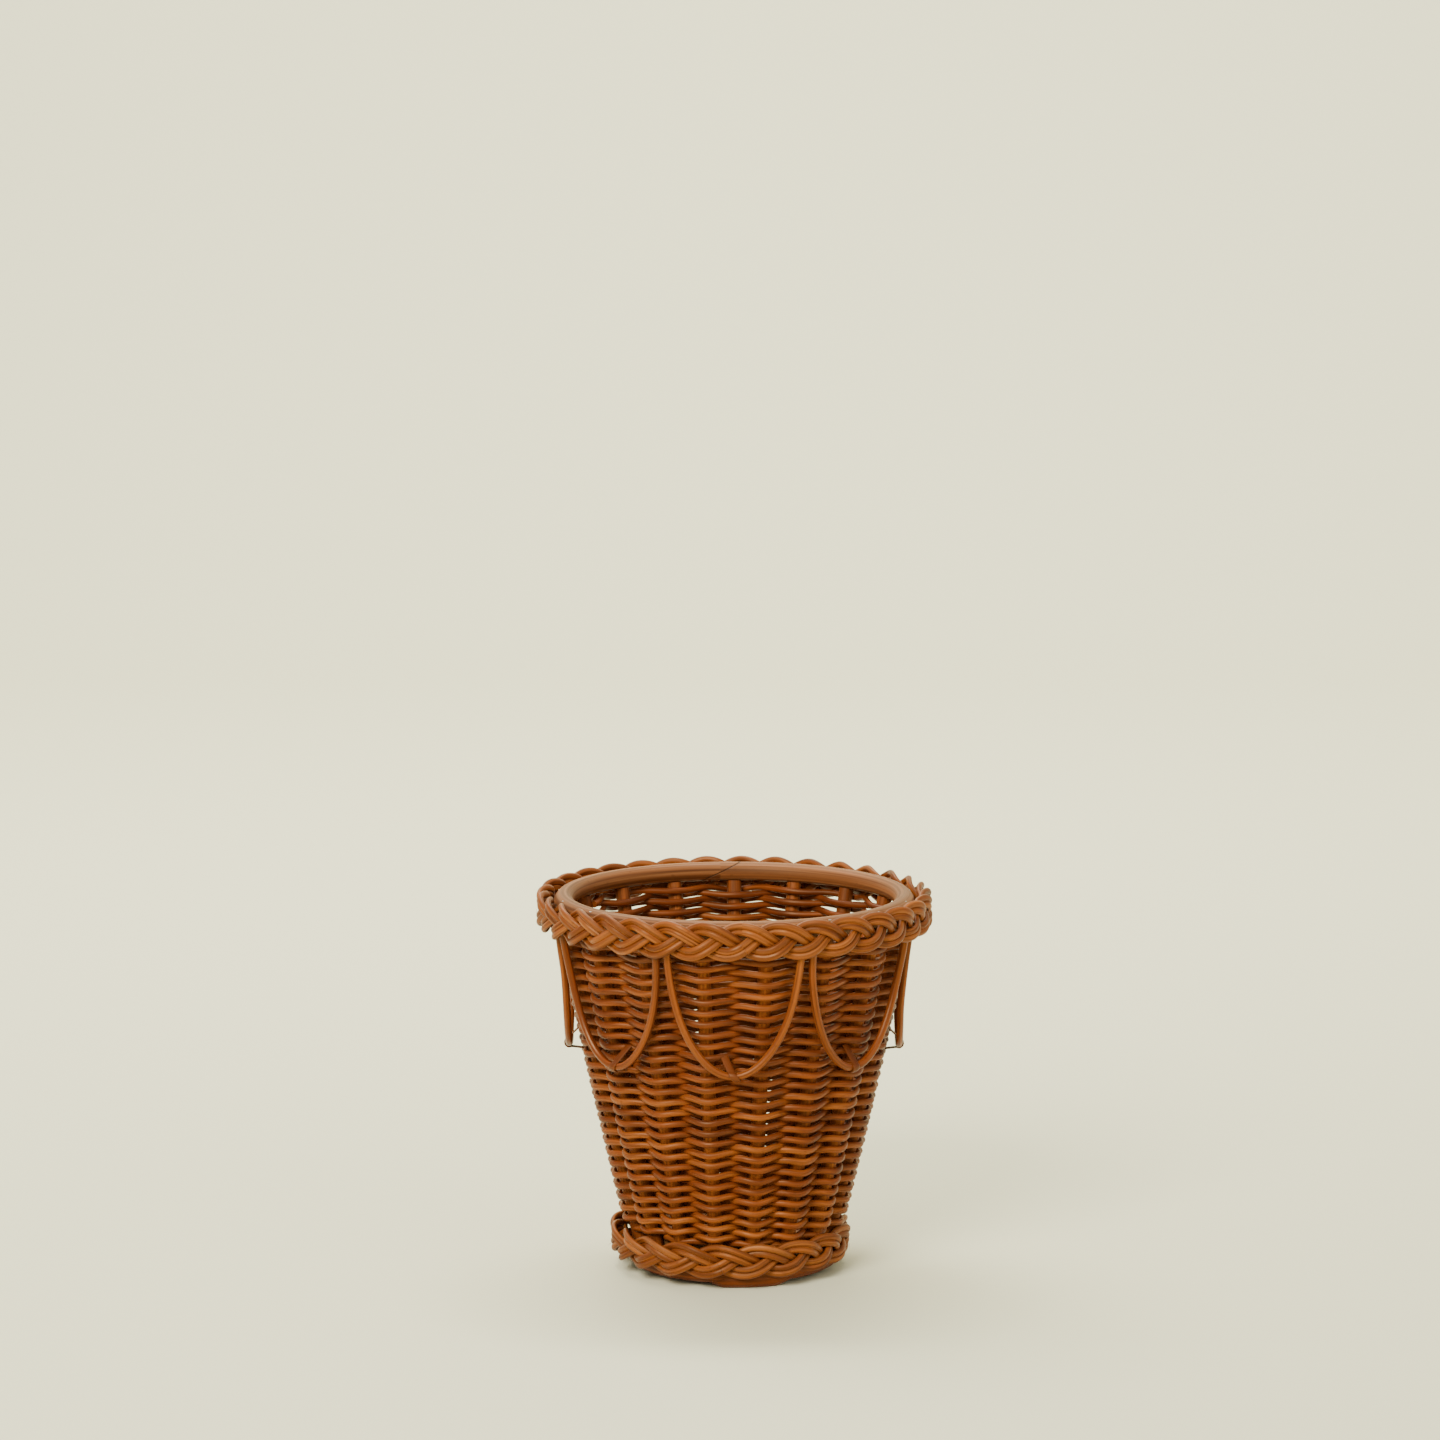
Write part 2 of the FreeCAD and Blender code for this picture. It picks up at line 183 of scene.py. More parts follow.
class Rule:
    """A tree that makes one kind of rod. Its way is worked out point by point from the sizes."""

    def __init__(self, name, sizes):
        self.tree = bpy.data.node_groups.new(name, "GeometryNodeTree")
        panel = self.tree.interface
        panel.new_socket("Geometry", in_out="OUTPUT", socket_type="NodeSocketGeometry")
        self.keys = {}
        common = {"Points": 100, "Step": 0.001, "Diameter": 0.004, "Thick": 1.0, "Wide": 1.0,
                  "Unevenness": 0.05, "Ridges": 0.02, "Tone": 0.5, "Seed": 0.0}
        for label, value in {**common, **sizes}.items():
            kind = "NodeSocketInt" if isinstance(value, int) else "NodeSocketFloat"
            socket = panel.new_socket(label, in_out="INPUT", socket_type=kind)
            socket.default_value = value
            self.keys[label] = socket.identifier
        socket = panel.new_socket("Finish", in_out="INPUT", socket_type="NodeSocketMaterial")
        self.keys["Finish"] = socket.identifier
        self.entry = self.tree.nodes.new("NodeGroupInput")
        self.exit = self.tree.nodes.new("NodeGroupOutput")
        self.way = Field(self.tree, self.tree.nodes.new("GeometryNodeInputIndex").outputs[0])
        self.way = self.way * self.size("Step")

    def size(self, label):
        """One of the named inputs."""
        return Field(self.tree, self.entry.outputs[label])

    def node(self, kind, inputs=(), **settings):
        """A node's first output."""
        return Field(self.tree, add_node(self.tree, kind, inputs, **settings).outputs[0])

    def place(self, angle, radius, height):
        """A point at an angle from the front, a distance from the middle and a height."""
        return combined(self.tree, radius * angle.sin(), radius * angle.cos() * -1.0, height)

    def wander(self, point, scale, seed_shift=0.0):
        """A slow random drift along the way, the same for reeds that lie close together."""
        return noise(self.tree, point, scale, self.size("Seed") + seed_shift)

    def store(self, geometry, name, kind, value):
        """Keeps a value on the points under a name that the material reads."""
        inputs = {"Geometry": geometry, "Name": name, "Value": value}
        return self.node("GeometryNodeStoreNamedAttribute", inputs, data_type=kind)

    def outward(self):
        """The level direction from the middle of the basket, square to the way."""
        tree = self.tree
        here = Field(tree, tree.nodes.new("GeometryNodeInputPosition").outputs[0])
        level = vector_math(tree, "MULTIPLY", here, (1.0, 1.0, 0.0))
        tangent = Field(tree, tree.nodes.new("GeometryNodeInputTangent").outputs[0])
        along = vector_math(tree, "PROJECT", level, tangent)
        return vector_math(tree, "NORMALIZE", vector_math(tree, "SUBTRACT", level, along))

    def sideways(self):
        """The level direction round the basket, for a band that wraps something."""
        tree = self.tree
        here = Field(tree, tree.nodes.new("GeometryNodeInputPosition").outputs[0])
        up = combined(tree, 0.0, 0.0, 1.0)
        return vector_math(tree, "NORMALIZE", vector_math(tree, "CROSS_PRODUCT", up, here))

    def sweep(self, points, sides, facing=None, fullness=1.0):
        """The tree's last part: an oval section carried along the points."""
        tree = self.tree
        line = self.node("GeometryNodeMeshLine", {"Count": self.size("Points")})
        line = self.node("GeometryNodeSetPosition", {"Geometry": line, "Position": points})
        curve = self.node("GeometryNodeMeshToCurve", {"Mesh": line})
        turned = {"Curve": curve, "Normal": facing or self.outward()}
        curve = self.node("GeometryNodeSetCurveNormal", turned, mode="FREE")
        spline = add_node(tree, "GeometryNodeSplineParameter")
        length = Field(tree, spline.outputs["Length"])
        curve = self.store(curve, "along", "FLOAT", length)
        curve = self.store(curve, "tone", "FLOAT", self.size("Tone"))
        swell = noise(tree, combined(tree, length, 0.0, 0.0), 28.0, self.size("Seed"))
        radius = self.size("Diameter") / 2.0 * (swell * self.size("Unevenness") * 2.0 + 1.0)
        radius = radius * fullness
        circle = {"Resolution": sides, "Radius": 1.0}
        section = self.node("GeometryNodeCurvePrimitiveCircle", circle)
        around = Field(tree, tree.nodes.new("GeometryNodeInputPosition").outputs[0])
        section = self.store(section, "around", "FLOAT_VECTOR", around)
        oval = combined(tree, self.size("Thick"), self.size("Wide"), 1.0)
        section = self.node("GeometryNodeTransform", {"Geometry": section, "Scale": oval})
        rail = {"Curve": curve, "Profile Curve": section, "Scale": radius, "Fill Caps": True}
        mesh = self.node("GeometryNodeCurveToMesh", rail)
        mesh = self.node("GeometryNodeSetPosition", {"Geometry": mesh, "Offset": self.ridges()})
        mesh = self.node("GeometryNodeSetShadeSmooth", {"Geometry": mesh, "Shade Smooth": True})
        mesh = self.node("GeometryNodeRealizeInstances", {"Geometry": mesh})
        finish = {"Geometry": mesh, "Material": self.size("Finish")}
        mesh = self.node("GeometryNodeSetMaterial", finish)
        feed(tree, self.exit.inputs["Geometry"], mesh)
        return self

    def attribute(self, name, kind):
        """A stored value, read back."""
        node = add_node(self.tree, "GeometryNodeInputNamedAttribute", {"Name": name}, data_type=kind)
        return Field(self.tree, node.outputs["Attribute"])

    def ridges(self):
        """A shift along the normal that makes long flats and ridges, as on split and dried cane."""
        tree = self.tree
        around = self.attribute("around", "FLOAT_VECTOR")
        split = add_node(tree, "ShaderNodeSeparateXYZ", {0: around})
        length = self.attribute("along", "FLOAT")
        place = combined(tree, length * 14.0, Field(tree, split.outputs[0]),
                         Field(tree, split.outputs[1]))
        depth = noise(tree, place, 1.3, self.size("Seed") + 5.0, 2.0) * 2.0
        depth = depth * self.size("Ridges") * self.size("Diameter")
        normal = Field(tree, tree.nodes.new("GeometryNodeInputNormal").outputs[0])
        node = add_node(tree, "ShaderNodeVectorMath", {0: normal}, operation="SCALE")
        feed(tree, node.inputs["Scale"], depth)
        return Field(tree, node.outputs[0])


def made_by(rule, name, finish, **sizes):
    """A finished piece: the rule's result as a plain mesh."""
    piece = bpy.data.objects.new(name, bpy.data.meshes.new(name))
    bpy.context.scene.collection.objects.link(piece)
    modifier = piece.modifiers.new("rule", "NODES")
    modifier.node_group = rule.tree
    for label, value in sizes.items():
        modifier[rule.keys[label.replace("_", " ")]] = value
    modifier[rule.keys["Finish"]] = finish
    seen = bpy.context.evaluated_depsgraph_get()
    mesh = bpy.data.meshes.new_from_object(piece.evaluated_get(seen),
                                           preserve_all_data_layers=True, depsgraph=seen)
    piece.modifiers.clear()
    piece.data = mesh
    return piece


def finished(piece, slot, *nodes):
    """Makes a piece move with the root body and hides the frame parts it stands for. The slot is not
    used.
    """
    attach(piece, "root")
    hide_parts(*nodes)


def points_for(length, spacing):
    """How many points a way of that length needs."""
    return int(length / spacing) + 1


# ---- the rules ----


def belly(rule, level):
    """How far the wall stands out between foot and rim, a little fuller than a straight cone."""
    share = (level - STAKE_FOOT) / (STAKE_TOP - STAKE_FOOT)
    return (share * math.pi).sin() * rule.size("Belly")


def weave_rule():
    """A reed that passes in front of one stake and behind the next, climbing in a spiral. Its
    runs outside the stakes lie a little high, except at the back, where they lie a little low.
    Below a given height it is pressed in by the plait round the foot."""
    rule = Rule("woven reed", {"First Crossing": 0.0, "Foot Radius": 0.07, "Foot Height": 0.01,
                               "Slope": 0.2, "Reach": 0.007, "First Row": 0.04,
                               "Row Pitch": 0.004, "Sag": 0.002, "Wander": 0.001, "Sway": 0.0,
                               "Belly": 0.001, "Pressed Below": 0.036, "Pressed In": 0.5,
                               "Swelling": 0.1})
    crossing = rule.way + rule.size("First Crossing")
    angle = (crossing + 0.5) * STAKE_STEP
    level = rule.size("First Row") + crossing * rule.size("Row Pitch") / float(STAKE_COUNT)
    axis = rule.size("Foot Radius") + (level - rule.size("Foot Height")) * rule.size("Slope")
    axis = axis + belly(rule, level)
    even = rule.place(angle, axis, level)
    side = (crossing * math.pi).cos() * -1.0
    dip = (crossing * 2 * math.pi).cos() * rule.size("Sag") * (side * 0.2 + 0.3)
    own = combined(rule.tree, crossing, 0.0, 0.0)
    height = level - dip + rule.wander(even, 30.0) * rule.size("Wander")
    front = (angle.cos() + 0.55) * 2.2
    front = front.math("MAXIMUM", -0.8).math("MINIMUM", 1.0)
    height = height + side * front * rule.size("Sway")
    height = height + noise(rule.tree, own, 0.9, rule.size("Seed") + 3.0) * 0.0017
    pressed = (rule.size("Pressed Below") - level).math("MAXIMUM", 0.0) * rule.size("Pressed In")
    outer = side.math("MAXIMUM", 0.0)
    radius = axis + side * rule.size("Reach") - pressed * outer
    radius = radius + noise(rule.tree, own, 0.8, rule.size("Seed") + 9.0) * 0.0008
    fullness = side * side * rule.size("Swelling") - side * 0.03 + 1.0
    return rule.sweep(rule.place(angle, radius, height), 12, fullness=fullness)


def plait_rule():
    """A reed of a flat plait of three strands, swinging between its edges and in and out."""
    rule = Rule("plaited reed", {"Periods": 11.0, "Phase": 0.0, "Turn": 0.0, "Pair Shift": 0.002,
                                 "Swing": 0.009, "Depth": 0.003, "Ring Radius": 0.14,
                                 "Ring Height": 0.27, "Flare": 0.0, "Wander": 0.001})
    phase = rule.way * rule.size("Periods") + rule.size("Phase")
    rise = phase.sin() * rule.size("Swing") * rule.size("Periods") / rule.size("Ring Radius")
    steep = (rise * rise + 1.0).math("SQRT")
    along = rule.size("Pair Shift") * rise / steep
    across = rule.size("Pair Shift") / steep
    angle = rule.way + rule.size("Turn") + along / rule.size("Ring Radius")
    even = rule.place(angle, rule.size("Ring Radius"), rule.size("Ring Height"))
    drift = rule.wander(even, 22.0) * rule.size("Wander")
    loose = rule.wander(even, 45.0, 7.0) * rule.size("Wander")
    off_middle = phase.cos() * rule.size("Swing") + across
    height = rule.size("Ring Height") + off_middle + drift
    radius = rule.size("Ring Radius") + (phase * 2.0).sin() * rule.size("Depth")
    radius = radius + off_middle * rule.size("Flare") + loose
    return rule.sweep(rule.place(angle, radius, height), 14)


def loop_rule():
    """A rod hung in half an ellipse, on the wall at its ends and off it at the bottom."""
    rule = Rule("hanging loop", {"Middle": 0.0, "Half Span": 0.36, "Top": 0.255, "Depth": 0.09,
                                 "Wall Radius": 0.13, "Slope": 0.2, "Stand Off": 0.006,
                                 "Tuck": 0.004, "Skew": 0.0})
    turn = rule.way * math.pi
    sine = turn.sin()
    drop = sine * rule.size("Depth") - (turn.cos() * turn.cos()).math("POWER", 12.0) * rule.size("Tuck")
    height = rule.size("Top") - drop
    radius = rule.size("Wall Radius") - drop * rule.size("Slope") + sine * rule.size("Stand Off")
    angle = rule.size("Middle") - turn.cos() * rule.size("Half Span")
    angle = angle + sine * rule.size("Skew")
    even = rule.place(angle, radius, height)
    angle = angle + rule.wander(even, 16.0) * 0.012
    radius = radius + rule.wander(even, 20.0, 4.0) * 0.0016
    return rule.sweep(rule.place(angle, radius, height), 16)


def pole_rule():
    """A straight pole that leans outwards, with a slight bow."""
    rule = Rule("leaning pole", {"Angle": 0.0, "Foot Radius": 0.07, "Foot": 0.01, "Slope": 0.2,
                                 "Bow": 0.0004, "Belly": 0.001})
    height = rule.size("Foot") + rule.way
    radius = rule.size("Foot Radius") + rule.way * rule.size("Slope") + belly(rule, height)
    even = combined(rule.tree, rule.way, rule.size("Angle"), 0.0)
    angle = rule.size("Angle") + rule.wander(even, 9.0) * rule.size("Bow") / radius
    return rule.sweep(rule.place(angle, radius, height), 24)


def ring_rule():
    """A pole bent round in a ring, or part of one, which may start thin and run lower before
    it climbs."""
    rule = Rule("bent pole", {"Ring Radius": 0.12, "Ring Height": 0.27, "Start": 0.0,
                              "Drop": 0.0, "Climb From": 0.0, "Climb Over": 1.0, "Taper": 0.0})
    climb = (rule.way - rule.size("Climb From")) / rule.size("Climb Over")
    climb = climb.math("MAXIMUM", 0.0).math("MINIMUM", 1.0)
    eased = climb * climb * (climb * -2.0 + 3.0)
    height = rule.size("Ring Height") - rule.size("Drop") * (eased * -1.0 + 1.0)
    angle = rule.way + rule.size("Start")
    tip = 0.02
    fullness = ((rule.way + tip) / (rule.size("Taper") + tip)).math("MINIMUM", 1.0).math("SQRT")
    return rule.sweep(rule.place(angle, rule.size("Ring Radius"), height), 32, fullness=fullness)


def tie_rule():
    """A flat band that comes out of the wall, passes over a rod's outer side and goes back in
    under it."""
    rule = Rule("cane tie", {"Angle": 0.0, "Rod Radius": 0.12, "Rod Height": 0.16,
                             "Grip": 0.0032, "Wall Depth": 0.01, "Rise": 0.009, "Fall": 0.003,
                             "Slant": 0.3})
    share = rule.way
    turned = ((share - 0.3) / 0.5).math("MAXIMUM", 0.0).math("MINIMUM", 1.0)
    turn = turned * -math.radians(185.0) + math.radians(65.0)
    first = ((share * -1.0 + 0.3) / 0.3).math("MAXIMUM", 0.0)
    last = ((share - 0.8) / 0.2).math("MAXIMUM", 0.0)
    on_rod = first * -1.0 - last + 1.0
    out = turn.cos() * rule.size("Grip") * on_rod - (first + last) * rule.size("Wall Depth")
    rise = turn.sin() * rule.size("Grip") * on_rod
    rise = rise + first * rule.size("Rise") - last * rule.size("Fall")
    radius = rule.size("Rod Radius") + out
    angle = rule.size("Angle") - rise * rule.size("Slant") / rule.size("Rod Radius")
    height = rule.size("Rod Height") + rise
    return rule.sweep(rule.place(angle, radius, height), 16, rule.sideways())


def fibre_rule():
    """A loose fibre that stands off a reed and bends over."""
    rule = Rule("loose fibre", {"Angle": 0.0, "Radius": 0.1, "Height": 0.1, "Length": 0.006,
                                "Turn": 0.0, "Lean": 0.3, "Curl": 0.3})
    reach = rule.way * rule.size("Length")
    bent = rule.way * reach * rule.size("Curl")
    angle = rule.size("Angle") + reach * rule.size("Turn").cos() / rule.size("Radius")
    height = rule.size("Height") + reach * rule.size("Turn").sin() - bent
    radius = rule.size("Radius") + reach * rule.size("Lean") - bent * 0.5
    fullness = rule.way * -0.6 + 1.0
    return rule.sweep(rule.place(angle, radius, height), 5, fullness=fullness)


# ---- materials ----


def shader_group(name, inputs, outputs):
    """An empty shader node group with named sockets, and fields for its inputs."""
    tree = bpy.data.node_groups.new(name, "ShaderNodeTree")
    for label, kind, value in inputs:
        socket = tree.interface.new_socket(label, in_out="INPUT", socket_type="NodeSocket" + kind)
        socket.default_value = value
    for label, kind in outputs:
        tree.interface.new_socket(label, in_out="OUTPUT", socket_type="NodeSocket" + kind)
    entry = tree.nodes.new("NodeGroupInput")
    exit_node = tree.nodes.new("NodeGroupOutput")
    fields = {label: Field(tree, entry.outputs[label]) for label, kind, value in inputs}
    return tree, fields, exit_node


def mapped(tree, value, low, high, to_low, to_high):
    """A value taken from one range to another and kept inside it."""
    inputs = {"Value": value, "From Min": low, "From Max": high, "To Min": to_low, "To Max": to_high}
    return Field(tree, add_node(tree, "ShaderNodeMapRange", inputs).outputs[0])


def mixed(tree, share, first, second, blend="MIX"):
    """One colour mixed into another."""
    node = add_node(tree, "ShaderNodeMix", data_type="RGBA", blend_type=blend)
    feed(tree, node.inputs["Factor"], share)
    feed(tree, node.inputs[6], first)
    feed(tree, node.inputs[7], second)
    return Field(tree, node.outputs[2])


def grain_group():
    """Fibres that run along a reed: fine streaks, long pale and dark patches, and their relief."""
    inputs = [("Place", "Vector", (0.0, 0.0, 0.0)), ("Tone", "Float", 0.5),
              ("Fibre Length", "Float", 60.0), ("Fibre Fineness", "Float", 2200.0),
              ("Patch Length", "Float", 16.0), ("Patch Fineness", "Float", 160.0)]
    outputs = [("Streaks", "Float"), ("Patches", "Float"), ("Specks", "Float"), ("Relief", "Float")]
    tree, fields, exit_node = shader_group("cane grain", inputs, outputs)
    shift = combined(tree, fields["Tone"] * 37.0, fields["Tone"] * 11.0, 0.0)

    def stretched(along, across, detail, seed):
        scale = combined(tree, along, across, across)
        node = add_node(tree, "ShaderNodeVectorMath", {0: fields["Place"], 1: scale},
                        operation="MULTIPLY")
        moved = add_node(tree, "ShaderNodeVectorMath", {1: shift}, operation="ADD")
        feed(tree, moved.inputs[0], Field(tree, node.outputs[0]))
        return noise(tree, Field(tree, moved.outputs[0]), 1.0, seed, detail) + 0.5

    streaks = stretched(fields["Fibre Length"], fields["Fibre Fineness"], 3.0, 1.0)
    patches = stretched(fields["Patch Length"], fields["Patch Fineness"], 2.0, 4.0)
    specks = stretched(fields["Fibre Fineness"] * 0.25, fields["Fibre Fineness"] * 0.5, 1.0, 8.0)
    feed(tree, exit_node.inputs["Streaks"], mapped(tree, streaks, 0.3, 0.7, 0.0, 1.0))
    feed(tree, exit_node.inputs["Patches"], mapped(tree, patches, 0.3, 0.7, 0.0, 1.0))
    feed(tree, exit_node.inputs["Specks"], mapped(tree, specks, 0.66, 0.74, 0.0, 1.0))
    feed(tree, exit_node.inputs["Relief"], streaks * 0.7 + patches * 0.3)
    return tree


GRAIN = grain_group()


def reed_place(tree, radius):
    """Where a point lies on its reed: along it, and in its section, in metres."""
    along = add_node(tree, "ShaderNodeAttribute", attribute_name="along")
    around = add_node(tree, "ShaderNodeAttribute", attribute_name="around")
    split = add_node(tree, "ShaderNodeSeparateXYZ")
    tree.links.new(around.outputs["Vector"], split.inputs[0])
    return combined(tree, Field(tree, along.outputs["Fac"]),
                    Field(tree, split.outputs[0]) * radius, Field(tree, split.outputs[1]) * radius)


def rattan(name, radius, dark, middle, light, gloss=0.44, fibres=(30.0, 800.0),
           patches=(16.0, 160.0), contrast=0.5, bump=0.35):
    """Stained rattan: long grain in three shades, each reed with a tone of its own."""
    material = bpy.data.materials.new(name)
    material.use_nodes = True
    tree = material.node_tree
    surface = tree.nodes["Principled BSDF"]
    tone = Field(tree, add_node(tree, "ShaderNodeAttribute", attribute_name="tone").outputs["Fac"])
    grain = add_node(tree, "ShaderNodeGroup", node_tree=GRAIN)
    feed(tree, grain.inputs["Place"], reed_place(tree, radius))
    feed(tree, grain.inputs["Tone"], tone)
    grain.inputs["Fibre Length"].default_value = fibres[0]
    grain.inputs["Fibre Fineness"].default_value = fibres[1]
    grain.inputs["Patch Length"].default_value = patches[0]
    grain.inputs["Patch Fineness"].default_value = patches[1]
    streaks = Field(tree, grain.outputs["Streaks"])
    patchy = Field(tree, grain.outputs["Patches"])
    specks = Field(tree, grain.outputs["Specks"])
    shade = tone * 0.55 + patchy * 0.45
    body = mixed(tree, mapped(tree, shade, 0.12, 0.5, 0.0, 1.0), dark, middle)
    body = mixed(tree, mapped(tree, shade, 0.5, 0.95, 0.0, 1.0), body, light)
    lined = mixed(tree, streaks * contrast, body, dark)
    spotted = mixed(tree, specks * 0.35, lined, dark)
    feed(tree, surface.inputs["Base Color"], spotted)
    feed(tree, surface.inputs["Roughness"], streaks * 0.16 + patchy * 0.1 + (gloss - 0.1))
    surface.inputs["Specular IOR Level"].default_value = 0.34
    surface.inputs["Specular Tint"].default_value = (1.0, 0.74, 0.42, 1)
    relief = add_node(tree, "ShaderNodeBump")
    relief.inputs["Strength"].default_value = bump
    relief.inputs["Distance"].default_value = 0.0004
    feed(tree, relief.inputs["Height"], Field(tree, grain.outputs["Relief"]))
    tree.links.new(relief.outputs["Normal"], surface.inputs["Normal"])
    return material


def board_finish():
    """Plain stained board: rings drawn out along Y, seen flat-sawn, with small pores."""
    material = bpy.data.materials.new("board wood")
    material.use_nodes = True
    tree = material.node_tree
    surface = tree.nodes["Principled BSDF"]
    where = add_node(tree, "ShaderNodeTexCoord")
    stretch = add_node(tree, "ShaderNodeMapping")
    stretch.inputs["Scale"].default_value = (60.0, 5.0, 60.0)
    tree.links.new(where.outputs["Object"], stretch.inputs["Vector"])
    sway = add_node(tree, "ShaderNodeTexWave", bands_direction="X")
    sway.inputs["Scale"].default_value = 1.1
    sway.inputs["Distortion"].default_value = 5.5
    sway.inputs["Detail"].default_value = 3.0
    tree.links.new(stretch.outputs["Vector"], sway.inputs["Vector"])
    pores = add_node(tree, "ShaderNodeMapping")
    pores.inputs["Scale"].default_value = (1600.0, 90.0, 1600.0)
    tree.links.new(where.outputs["Object"], pores.inputs["Vector"])
    fine = noise(tree, Field(tree, pores.outputs["Vector"]), 1.0, 2.0, 2.0) + 0.5
    bands = Field(tree, sway.outputs["Fac"])
    body = mixed(tree, bands, (0.19, 0.074, 0.018, 1), (0.33, 0.150, 0.043, 1))
    body = mixed(tree, mapped(tree, fine, 0.45, 0.7, 0.0, 0.6), body, (0.10, 0.038, 0.011, 1))
    feed(tree, surface.inputs["Base Color"], body)
    feed(tree, surface.inputs["Roughness"], fine * 0.25 + 0.5)
    relief = add_node(tree, "ShaderNodeBump")
    relief.inputs["Strength"].default_value = 0.3
    relief.inputs["Distance"].default_value = 0.0004
    feed(tree, relief.inputs["Height"], fine + bands * 0.3)
    tree.links.new(relief.outputs["Normal"], surface.inputs["Normal"])
    return material


def steel_finish():
    """Plain wire steel with a trace of rust."""
    material = bpy.data.materials.new("brad steel")
    material.use_nodes = True
    tree = material.node_tree
    surface = tree.nodes["Principled BSDF"]
    where = add_node(tree, "ShaderNodeTexCoord")
    blotch = noise(tree, Field(tree, where.outputs["Object"]), 700.0, 1.0, 3.0) + 0.5
    rust = mapped(tree, blotch, 0.5, 0.65, 0.0, 1.0)
    feed(tree, surface.inputs["Base Color"],
         mixed(tree, rust, (0.42, 0.40, 0.38, 1), (0.20, 0.09, 0.04, 1)))
    feed(tree, surface.inputs["Metallic"], rust * -0.8 + 1.0)
    feed(tree, surface.inputs["Roughness"], rust * 0.35 + 0.35)
    return material


WEAVE_FINISH = rattan("weave reed", REED / 2, (0.044, 0.0066, 0.0008, 1),
                      (0.200, 0.040, 0.0040, 1), (0.375, 0.105, 0.0150, 1),
                      patches=(30.0, 200.0), contrast=0.75, bump=0.6)
PLAIT_FINISH = rattan("plait reed", 0.0022, (0.075, 0.015, 0.0018, 1), (0.240, 0.060, 0.0085, 1),
                      (0.405, 0.130, 0.025, 1), fibres=(14.0, 680.0),
                      patches=(16.0, 260.0), contrast=1.0, bump=1.0)
# Painted light: the stake colours are made about a quarter lighter to make up for the shade the stakes
# sit in behind the reeds.
STAKE_FINISH = rattan("stake pole", STAKE_ROD / 2, (0.070, 0.014, 0.002, 1),
                      (0.26, 0.060, 0.008, 1), (0.42, 0.125, 0.022, 1), gloss=0.55,
                      fibres=(20.0, 700.0), contrast=0.8, bump=0.8)
HOOP_FINISH = rattan("hoop pole", HOOP_ROD / 2, (0.070, 0.018, 0.004, 1), (0.28, 0.100, 0.028, 1),
                     (0.47, 0.215, 0.075, 1), gloss=0.52, fibres=(4.0, 520.0),
                     patches=(3.0, 170.0), contrast=1.0, bump=1.0)
LOOP_FINISH = rattan("loop rod", LOOP_ROD / 2, (0.065, 0.010, 0.001, 1), (0.215, 0.045, 0.005, 1),
                     (0.35, 0.095, 0.013, 1), gloss=0.34, fibres=(12.0, 650.0),
                     patches=(12.0, 240.0), contrast=1.0, bump=0.9)
FOOT_FINISH = rattan("foot pole", FOOT_ROD / 2, (0.06, 0.010, 0.001, 1), (0.175, 0.033, 0.0035, 1),
                     (0.27, 0.062, 0.009, 1), gloss=0.5, fibres=(8.0, 560.0),
                     contrast=0.8, bump=0.7)
TIE_FINISH = rattan("tie cane", 0.002, (0.05, 0.009, 0.001, 1), (0.13, 0.028, 0.004, 1),
                    (0.20, 0.050, 0.009, 1), gloss=0.4)


def add_joint_line(material):
    """The slanted joint of the hoop: a thin dark gap across its back, rising to the right."""
    tree = material.node_tree
    surface = tree.nodes["Principled BSDF"]
    where = add_node(tree, "ShaderNodeTexCoord")
    split = add_node(tree, "ShaderNodeSeparateXYZ")
    tree.links.new(where.outputs["Object"], split.inputs[0])
    across, depth, height = (Field(tree, split.outputs[axis]) for axis in range(3))
    middle, climb = -0.011, 0.47
    half_length = 0.0155
    beside = across - middle
    off_line = height - HOOP_HEIGHT - beside * climb
    near = mapped(tree, off_line.math("ABSOLUTE"), 0.0002, 0.0006, 1.0, 0.0)
    near = near * mapped(tree, depth, 0.05, 0.06, 0.0, 1.0)
    near = near * mapped(tree, beside.math("ABSOLUTE"), half_length, half_length + 0.002, 1.0, 0.0)
    body = Field(tree, surface.inputs["Base Color"].links[0].from_socket)
    feed(tree, surface.inputs["Base Color"], mixed(tree, near * 0.85, body, (0.02, 0.005, 0.001, 1)))
    normal = surface.inputs["Normal"].links[0].from_socket
    gap = add_node(tree, "ShaderNodeBump")
    gap.inputs["Strength"].default_value = 0.8
    gap.inputs["Distance"].default_value = 0.0006
    feed(tree, gap.inputs["Height"], near * -1.0)
    tree.links.new(normal, gap.inputs["Normal"])
    tree.links.new(gap.outputs["Normal"], surface.inputs["Normal"])


add_joint_line(HOOP_FINISH)

# ---- pieces ----

BELLY = 0.0015
chance = random.Random(7)


def make_hoop():
    """The thick rim pole. It starts and ends in its slanted joint, just left of the back."""
    joint_angle = math.pi + 0.088
    points = points_for(2 * math.pi * HOOP_RADIUS, 0.0015)
    hoop = made_by(ring_rule(), "rim_hoop", HOOP_FINISH, Points=points,
                   Step=2 * math.pi / (points - 1), Ring_Radius=HOOP_RADIUS,
                   Ring_Height=HOOP_HEIGHT, Start=joint_angle, Diameter=HOOP_ROD - 0.0002,
                   Unevenness=0.015, Ridges=0.012, Tone=0.5)
    finished(hoop, "hoop_rattan", "top_hoop")


